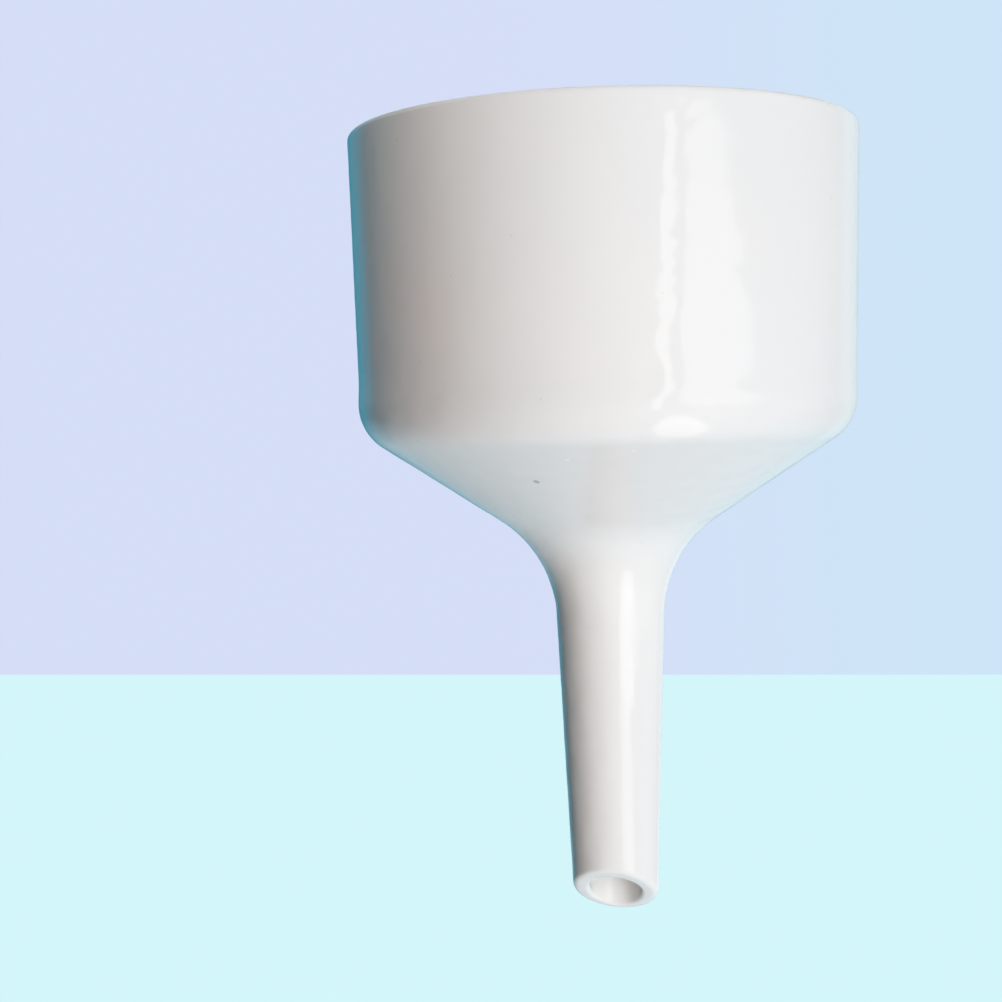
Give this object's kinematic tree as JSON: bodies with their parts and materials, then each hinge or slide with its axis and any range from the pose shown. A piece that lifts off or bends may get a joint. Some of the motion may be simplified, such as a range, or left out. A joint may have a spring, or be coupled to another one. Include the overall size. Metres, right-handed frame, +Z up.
{
  "type": "buchner funnel",
  "caption": "Glazed porcelain filter funnel: straight-sided bowl over a perforated plate, shallow cone and tapered stem with a slanted tip, with a loose paper disc.",
  "frame": {"origin": "on the funnel's axis, level with the lowest point of the tip", "axes": "+Z up along the funnel's axis, out of the bowl's mouth; the tip's slanted mouth faces -Y"},
  "size_m": [0.1, 0.1, 0.1562],
  "materials": {
    "wall_glaze": "glossy white glaze over porcelain, with an unglazed band on top of the rim",
    "plate_glaze": "glossy white glaze, drained thin round the holes",
    "stem_glaze": "glossy white glaze with a few small specks",
    "paper": "matt cellulose filter paper"
  },
  "bodies": {
    "funnel": {"bowl_wall": "wall_glaze", "filter_plate": "plate_glaze", "cone_and_stem": "stem_glaze"},
    "paper": {"filter_paper": "paper"}
  },
  "joints": [
    {"name": "paper_lift", "type": "slide", "parent": "funnel", "child": "paper", "axis": [0, 0, 1], "range_m": [0, 0.08]}
  ]
}
